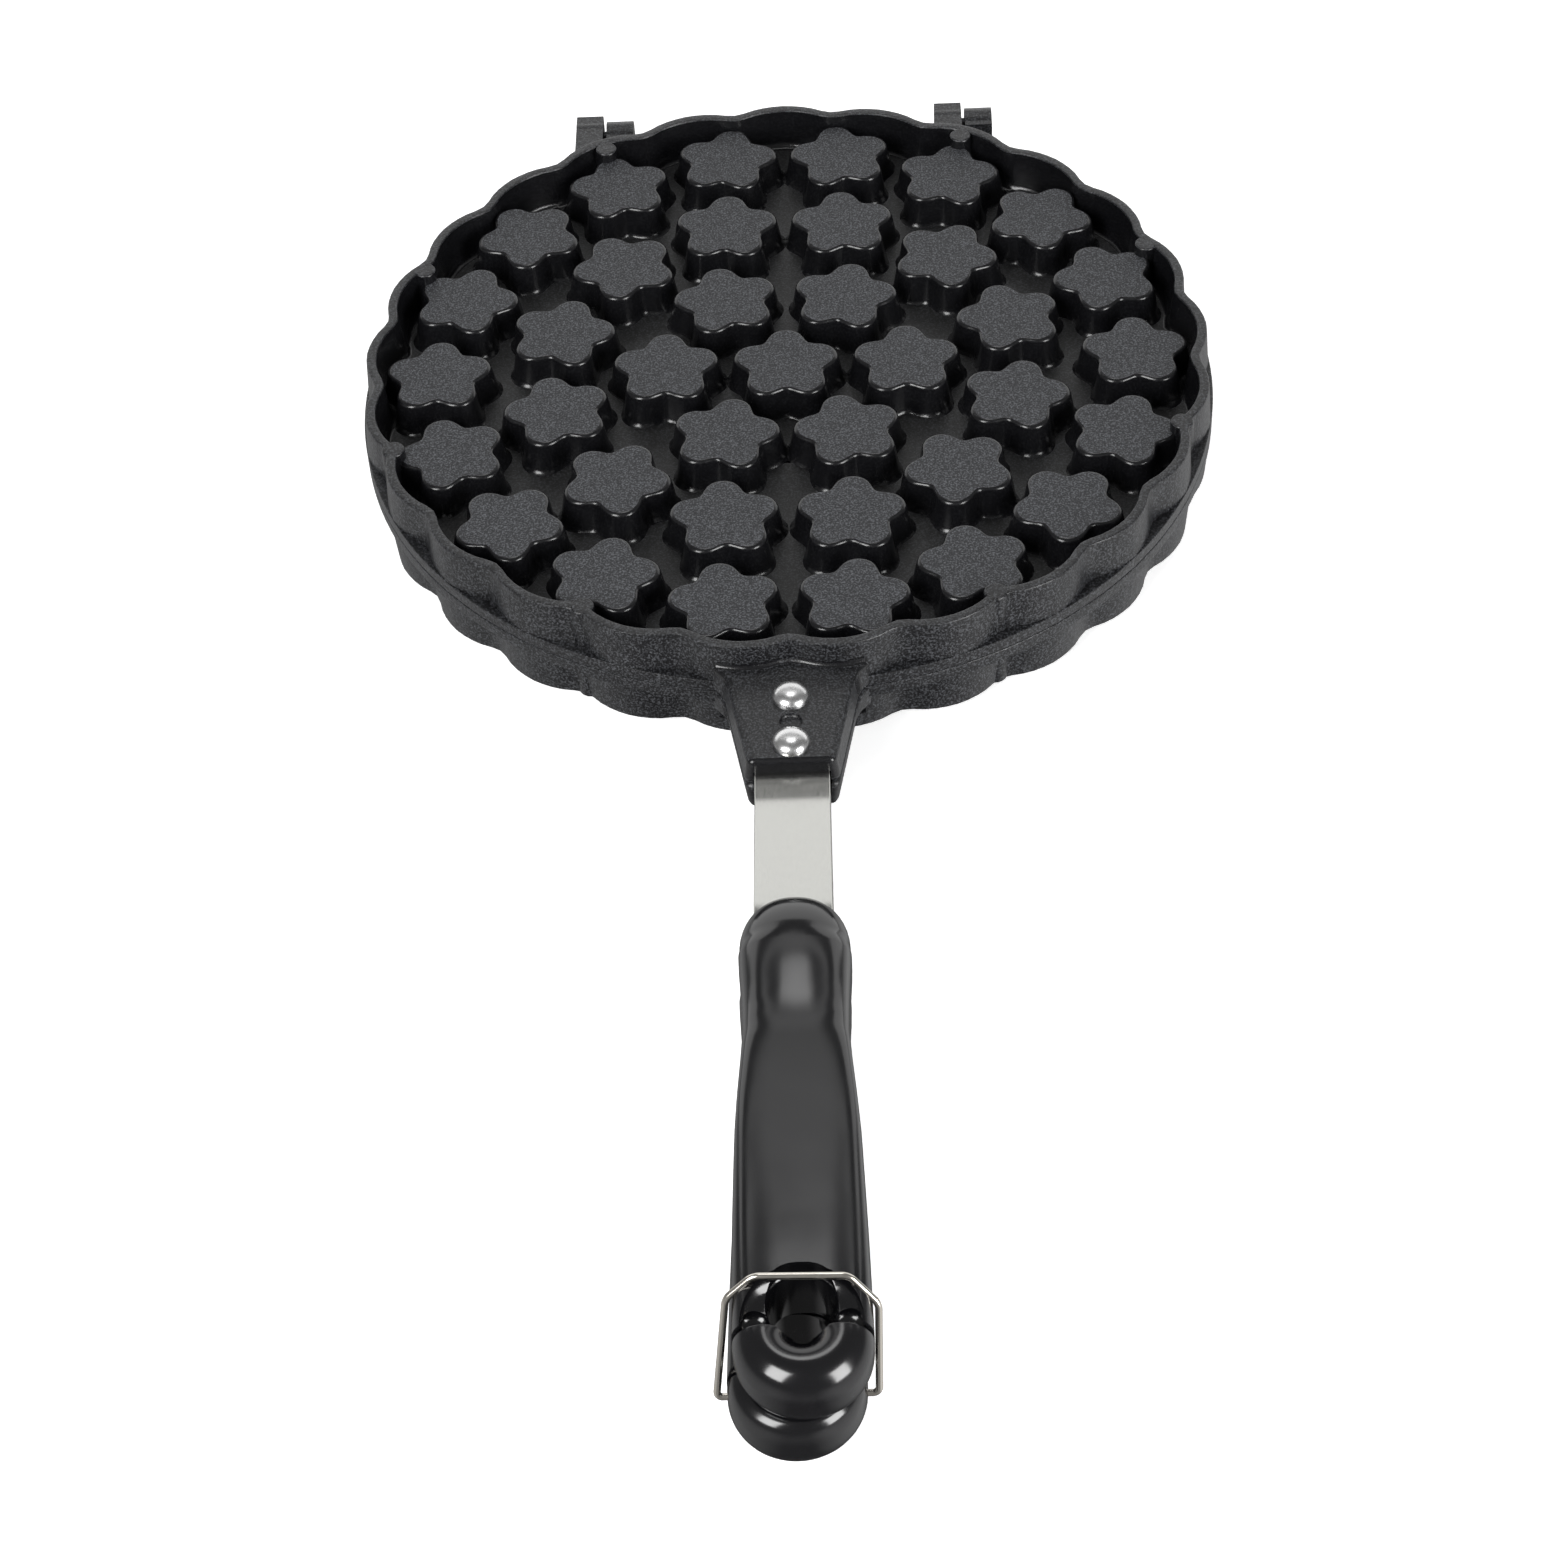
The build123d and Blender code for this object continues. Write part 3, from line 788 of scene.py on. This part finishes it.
handles = placePair(makeHandle(), "Handle", "handle", 38)
halfThick = handle["thick"] / 2
lowerMiddle = (partingHeight - handle["low"] - halfThick) * mm
for grip, (front, ring) in zip(handles, (handle["swayUpper"], handle["swayLower"])):
    for v in grip.data.vertices:
        y = v.co.y / mm
        share = (y - handle["front"]) / (handle["ringY"] - handle["front"])
        v.co.x += (front + ring * max(0, share) ** 2) * mm
        if grip is handles[1] and v.co.z < lowerMiddle:  # no thumb rest under the lower handle
            v.co.z = lowerMiddle + (v.co.z - lowerMiddle) / (1 + swellHeight(y) / halfThick)
print("handles done")
straps = placePair(makeStrap(), "Strap", "strap")
rivets = placePair(makeRivet(bracket["rivets"][0]), "FrontRivet", "front_rivet")
rivets += placePair(makeRivet(bracket["rivets"][1]), "RearRivet", "rear_rivet")
screws = placePair(makeScrew(), "HandleScrew", "handle_screw")
wireBail = makeBail()
settle(wireBail, "upper")
smooth(wireBail, 60)
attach(wireBail, "bail")
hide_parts("wire_bail")
rightPin = makePin()
leftPin = copyOf(rightPin, "leftHingePin")
rightPin.name = rightPin.data.name = "rightHingePin"
for thing, half, body, node in ((rightPin, "upper", "lower", "right_hinge_pin"),
                                (leftPin, "lower", "upper", "left_hinge_pin")):
    settle(thing, half)
    smooth(thing, 50)
    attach(thing, body)
    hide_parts(node)
print("straps, rivets, wire and pins done")


# Finishes

def fromHex(code):
    # sRGB hex to the linear colour that a shader takes
    parts = [int(code[i:i + 2], 16) / 255 for i in (1, 3, 5)]
    return [c / 12.92 if c <= 0.04045 else ((c + 0.055) / 1.055) ** 2.4 for c in parts] + [1.0]


def newFinish(name, **sockets):
    finish = bpy.data.materials.new(name)
    finish.use_nodes = True
    shader = finish.node_tree.nodes["Principled BSDF"]
    for socket, value in sockets.items():
        shader.inputs[socket.replace("_", " ")].default_value = value
    return finish, shader


def addNode(finish, kind, links=(), inputs=(), **settings):
    # links: (input of this node, output that feeds it)
    node = finish.node_tree.nodes.new(kind)
    for key, value in settings.items():
        setattr(node, key, value)
    for socket, value in inputs:
        node.inputs[socket].default_value = value
    for socket, source in links:
        finish.node_tree.links.new(source, node.inputs[socket])
    return node


def feed(finish, source, target):
    finish.node_tree.links.new(source, target)


def coatingFinish(name, colour, rough, grain, depth, fleck):
    # baked non-stick coating on cast aluminium: an orange peel grain with pale flecks. The real grain, about
    # 0.3 mm, is too fine to show in the render, so it is drawn as coarse as it needs to show, near 0.9 mm
    finish, shader = newFinish(name, Base_Color=fromHex(colour), Roughness=rough, IOR=1.5)
    place = addNode(finish, "ShaderNodeTexCoord").outputs["Object"]
    peel = addNode(finish, "ShaderNodeTexNoise", [("Vector", place)],
                   [("Scale", 1000 / grain), ("Detail", 3.0), ("Roughness", 0.6)])
    flecks = addNode(finish, "ShaderNodeTexNoise", [("Vector", place)],
                     [("Scale", 1000 / (0.55 * grain)), ("Detail", 1.0)])
    pale = addNode(finish, "ShaderNodeMapRange", [("Value", flecks.outputs["Fac"])],
                   [("From Min", 0.46), ("From Max", 0.70), ("To Min", 0.0), ("To Max", fleck)])
    mixed = addNode(finish, "ShaderNodeMix", [("Factor", pale.outputs["Result"])], data_type="RGBA")
    mixed.inputs["A"].default_value = fromHex(colour)
    mixed.inputs["B"].default_value = fromHex("#8d9096")
    feed(finish, mixed.outputs["Result"], shader.inputs["Base Color"])
    bump = addNode(finish, "ShaderNodeBump", [("Height", peel.outputs["Fac"])],
                   [("Strength", 0.6), ("Distance", depth * mm)])
    feed(finish, bump.outputs["Normal"], shader.inputs["Normal"])
    return finish


# one coating in four copies: the tops powdery and matt, their lighter grey painted light from above; the
# floor matt, its near black painted shade between the moulds; the moulds' sides wet, the outer wall satin;
# colour, roughness, grain and its depth in mm, and how pale its flecks are
castTopPaintedLight = coatingFinish("non-stick coating, matt tops, painted lighter", "#1b1c1f", 0.62, 0.85, 0.16, 0.32)
castFloorPaintedShade = coatingFinish("non-stick coating, matt floor, painted shade", "#090909", 0.5, 0.9, 0.10, 0.10)
castGloss = coatingFinish("non-stick coating, glossy sides", "#0d0d0f", 0.23, 0.9, 0.04, 0.02)
castBody = coatingFinish("non-stick coating, cast wall", "#0b0b0d", 0.37, 0.95, 0.22, 0.17)


def plasticFinish():
    # polished phenolic plastic: near black, very glossy, with the faint swirl of moulding
    finish, shader = newFinish("polished black phenolic", Base_Color=fromHex("#0b0b0d"), Roughness=0.16,
                               IOR=1.6)
    place = addNode(finish, "ShaderNodeTexCoord").outputs["Object"]
    swirl = addNode(finish, "ShaderNodeTexNoise", [("Vector", place)], [("Scale", 60.0), ("Detail", 2.0)])
    rough = addNode(finish, "ShaderNodeMapRange", [("Value", swirl.outputs["Fac"])],
                    [("From Min", 0.3), ("From Max", 0.7), ("To Min", 0.13), ("To Max", 0.19)])
    feed(finish, rough.outputs["Result"], shader.inputs["Roughness"])
    wave = addNode(finish, "ShaderNodeTexNoise", [("Vector", place)], [("Scale", 140.0), ("Detail", 1.0)])
    bump = addNode(finish, "ShaderNodeBump", [("Height", wave.outputs["Fac"])],
                   [("Strength", 0.15), ("Distance", 0.03 * mm)])
    feed(finish, bump.outputs["Normal"], shader.inputs["Normal"])
    return finish


def steelFinish(name, colour, rough, brush, stretch=(1, 1, 1), relief=0.02, vary=0.07):
    # rolled, pressed or drawn metal: a fine grain, stretched where rolling or turning left lines
    finish, shader = newFinish(name, Base_Color=fromHex(colour), Metallic=1.0, Roughness=rough)
    place = addNode(finish, "ShaderNodeTexCoord").outputs["Object"]
    lines = addNode(finish, "ShaderNodeMapping", [("Vector", place)])
    lines.inputs["Scale"].default_value = stretch
    grain = addNode(finish, "ShaderNodeTexNoise", [("Vector", lines.outputs["Vector"])],
                    [("Scale", 1000 / brush), ("Detail", 4.0)])
    lustre = addNode(finish, "ShaderNodeMapRange", [("Value", grain.outputs["Fac"])],
                     [("From Min", 0.3), ("From Max", 0.7),
                      ("To Min", rough - vary), ("To Max", rough + vary)])
    feed(finish, lustre.outputs["Result"], shader.inputs["Roughness"])
    bump = addNode(finish, "ShaderNodeBump", [("Height", grain.outputs["Fac"])],
                   [("Strength", 0.15), ("Distance", relief * mm)])
    feed(finish, bump.outputs["Normal"], shader.inputs["Normal"])
    return finish


blackPlastic = plasticFinish()
# the strip is an even satin, the rivets bright and soft, the wire bright and a little warm, the screws dull
# silver, and the pins nearly black with turning lines; colour, roughness and grain in mm
stripSteel = steelFinish("cold rolled steel strip", "#bcbcb8", 0.2, 0.5, (1, 0.25, 1), 0.003, 0.03)
rivetMetal = steelFinish("pressed aluminium rivet", "#dcdcdc", 0.28, 1.5, relief=0.0, vary=0.03)
wireMetal = steelFinish("plated spring wire", "#d6d1c8", 0.22, 3.0, relief=0.0, vary=0.03)
screwMetal = steelFinish("zinc plated screw", "#b8b8b8", 0.3, 0.5)
blackSteel = steelFinish("blackened hinge pin", "#2a2a2c", 0.35, 0.5, (0.2, 1, 1))
for group, finish in ((handles, blackPlastic), (straps, stripSteel), (rivets, rivetMetal),
                      ([wireBail], wireMetal), (screws, screwMetal), ([rightPin, leftPin], blackSteel)):
    for thing in group:
        thing.data.materials.clear()
        thing.data.materials.append(finish)

coat = {
    "level": 0.985, "near": 0.1, "partingBelow": 0.3, "rim": 0.4,
    # the bracket's end and the hollow curve above it are polished by use
    "polishHalf": 30, "polishLow": 4, "polishOver": 1.4, "polishFlat": 0.97, "polishSide": 0.3,
}


def isPolished(x, y, high, normal):
    onBracket = abs(x) < coat["polishHalf"] and y < bracket["root"]
    atTop = coat["polishLow"] < high < bracket["top"] + coat["polishOver"]
    facing = abs(normal.z) < coat["polishFlat"] and abs(normal.y) > coat["polishSide"]
    atEnds = y < bracket["end"] + bracket["edge"] or y > strap["start"]
    return onBracket and atTop and facing and atEnds


def coatPlate(thing):
    # the tops and the floor between them are matt, the moulds' sides glossy, and the rest in between
    for finish in (castBody, castTopPaintedLight, castFloorPaintedShade, castGloss):
        thing.data.materials.append(finish)
    for face in thing.data.polygons:
        high = abs(face.center.z / mm - partingHeight)
        level = abs(face.normal.z) > coat["level"]
        x, y = face.center.x / mm, face.center.y / mm
        inside = sqrt(x**2 + y**2) < scallopOutline(atan2(y, x)) - plate["wall"] / 2
        if level and (high < coat["partingBelow"] or abs(high - mould["top"]) < coat["near"]):
            # the tops and the parting faces take the copy whose lighter grey is painted light
            face.material_index = 1
        elif inside and level and abs(high - plate["web"]) < coat["near"]:
            # the floor between the moulds takes the near black copy: painted shade
            face.material_index = 2
        elif inside and high < plate["height"] - coat["rim"] or isPolished(x, y, high, face.normal):
            face.material_index = 3


for thing in (upperPlate, lowerPlate):
    thing.data.materials.clear()
    coatPlate(thing)
print("finishes done")


# Camera, light and floor

camera = {"place": (18.11, -727.95, 623.98), "turn": (43.686, 2.380, -0.390), "lens": 79.246, "sensor": 36}
bpy.ops.object.camera_add(location=[c * mm for c in camera["place"]],
                          rotation=[radians(a) for a in camera["turn"]])
view = bpy.context.object
view.data.lens = camera["lens"]
view.data.sensor_width = camera["sensor"]
bpy.context.scene.camera = view

lights = {  # shape, place, width and height, watts, and the place that it faces
    "overhead": ("ELLIPSE", (0, 370, 1300), (480, 420), 2.1, (0, 370, 0)),
    "backdrop": ("RECTANGLE", (0, 1320, 447), (4200, 1358), 20.0, (0, -225, 33)),
    "topStrip": ("RECTANGLE", (0, 756, 1297), (2200, 128), 0.9, (0, -225, 33)),
    "frontLeft": ("RECTANGLE", (-712, -995, 730), (560, 820), 17, (0, -300, 20)),
    "frontRight": ("RECTANGLE", (962, -964, 385), (560, 820), 17, (0, -300, 20)),
}
for name, (shape, place, size, power, aim) in lights.items():
    bpy.ops.object.light_add(type="AREA", location=[c * mm for c in place])
    lamp = bpy.context.object
    lamp.name = name
    lamp.data.shape = shape
    lamp.data.size, lamp.data.size_y = [c * mm for c in size]
    lamp.data.energy = power
    facing = Vector([c * mm for c in aim]) - lamp.location
    lamp.rotation_euler = facing.to_track_quat("-Z", "Y").to_euler()

studio = {  # strength of the room's glow, by how far a direction leans along an axis, from -1 to 1
    "walls": ((-0.95, 0.08), (-0.78, 0.12), (-0.5, 0.32), (-0.3, 0.28), (-0.1, 0.2), (0.1, 0.2)),  # along Z
    "sides": ((-0.6, 0.28), (-0.25, 0), (0.25, 0), (0.6, 0.55)),  # along X, times the next
    "below": ((-0.25, 1), (0.0, 0)),  # along Z
}
world = bpy.data.worlds.new("studio")
bpy.context.scene.world = world
world.use_nodes = True
sky = world.node_tree.nodes["Background"]
sky.inputs["Color"].default_value = (1, 1, 1, 1)
direction = addNode(world, "ShaderNodeTexCoord").outputs["Generated"]
axes = addNode(world, "ShaderNodeSeparateXYZ", [("Vector", direction)])


def glow(axis, stops):
    share = addNode(world, "ShaderNodeMapRange", [("Value", axes.outputs[axis])],
                    [("From Min", -1.0), ("From Max", 1.0)])
    levels = addNode(world, "ShaderNodeValToRGB", [("Fac", share.outputs["Result"])])
    ramp = levels.color_ramp
    ramp.elements[0].position = (stops[0][0] + 1) / 2
    ramp.elements[1].position = (stops[-1][0] + 1) / 2
    for lean, _ in stops[1:-1]:
        ramp.elements.new((lean + 1) / 2)
    for stop, (_, level) in zip(ramp.elements, stops):
        stop.color = (level, level, level, 1)
    return levels.outputs["Color"]


# dim walls round the table, its pale top below them, brighter at the sides, and shade straight under the pan
walls = glow("Z", studio["walls"])
below = glow("Z", studio["below"])
sides = glow("X", studio["sides"])
total = addNode(world, "ShaderNodeMath", [(0, below), (1, sides), (2, walls)], operation="MULTIPLY_ADD")
feed(world, total.outputs["Value"], sky.inputs["Strength"])
bpy.context.scene.view_settings.view_transform = "Standard"

floor = {"size": 6, "drop": 3.3, "colour": "#f7f7f7", "light": 0.62}  # m, mm, and how much it shines
bpy.ops.mesh.primitive_plane_add(size=floor["size"], location=(0, 0, -floor["drop"] * mm))
ground = bpy.context.object
ground.name = "floor"
paper, _ = newFinish("white paper floor", Base_Color=fromHex(floor["colour"]), Roughness=0.9,
                     Emission_Color=fromHex("#ffffff"), Emission_Strength=floor["light"])
ground.data.materials.append(paper)
ground.visible_glossy = False  # the photograph's floor is too far off to show in the black plastic
print("camera, light and floor done")
